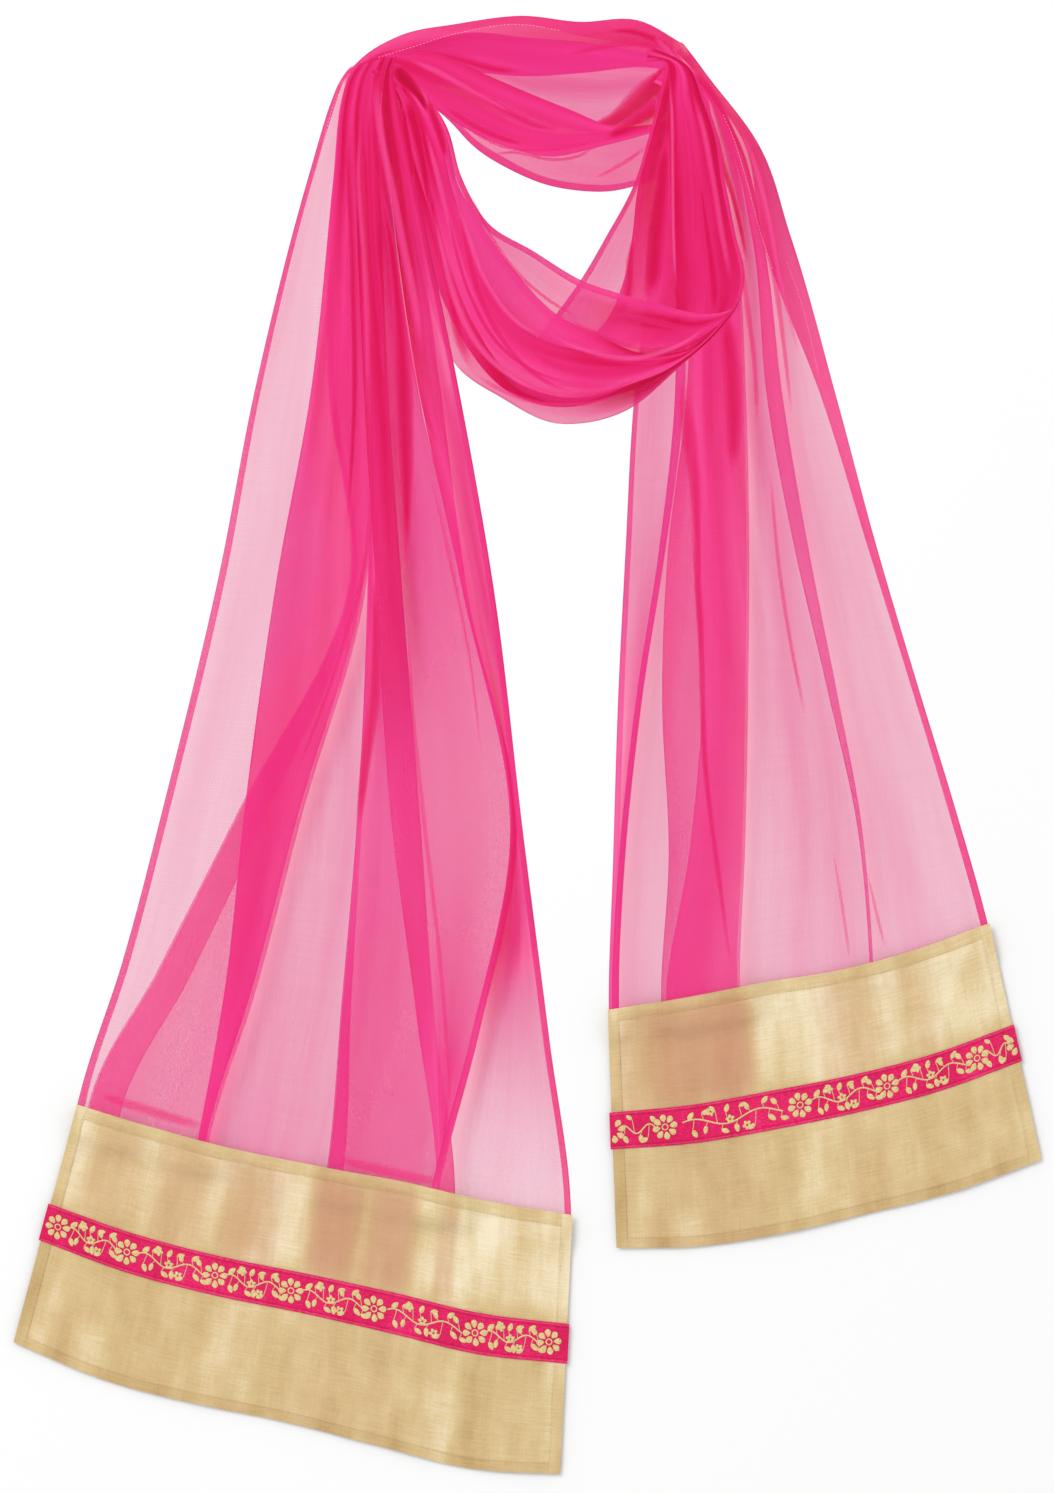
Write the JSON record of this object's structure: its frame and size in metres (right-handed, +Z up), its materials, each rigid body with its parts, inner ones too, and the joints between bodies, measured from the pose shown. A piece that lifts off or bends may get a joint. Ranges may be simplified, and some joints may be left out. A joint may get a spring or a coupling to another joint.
{
  "type": "dupatta",
  "caption": "Long sheer organza dupatta wound once round a neck opening and laid flat, with gold tissue end panels and a floral ribbon across each.",
  "frame": {"origin": "middle of the laid-out outline, on the surface that the cloth lies on", "axes": "+Y from the ends towards the neck, +X to the right as seen from above, +Z up from the surface"},
  "size_m": [0.74, 1.0496, 0.0351],
  "materials": {
    "pink_organza": "sheer crisp organza",
    "gold_tissue": "satin gold tissue",
    "crimson_ribbon": "woven satin ribbon"
  },
  "bodies": {
    "root": {"neck_back_upper": "pink_organza", "neck_back_lower": "pink_organza", "tail_right": "pink_organza", "loop_fall": "pink_organza", "cowl_front": "pink_organza", "tail_left": "pink_organza", "border_left": "gold_tissue", "border_right": "gold_tissue", "ribbon_left": "crimson_ribbon", "ribbon_right": "crimson_ribbon"}
  },
  "joints": []
}
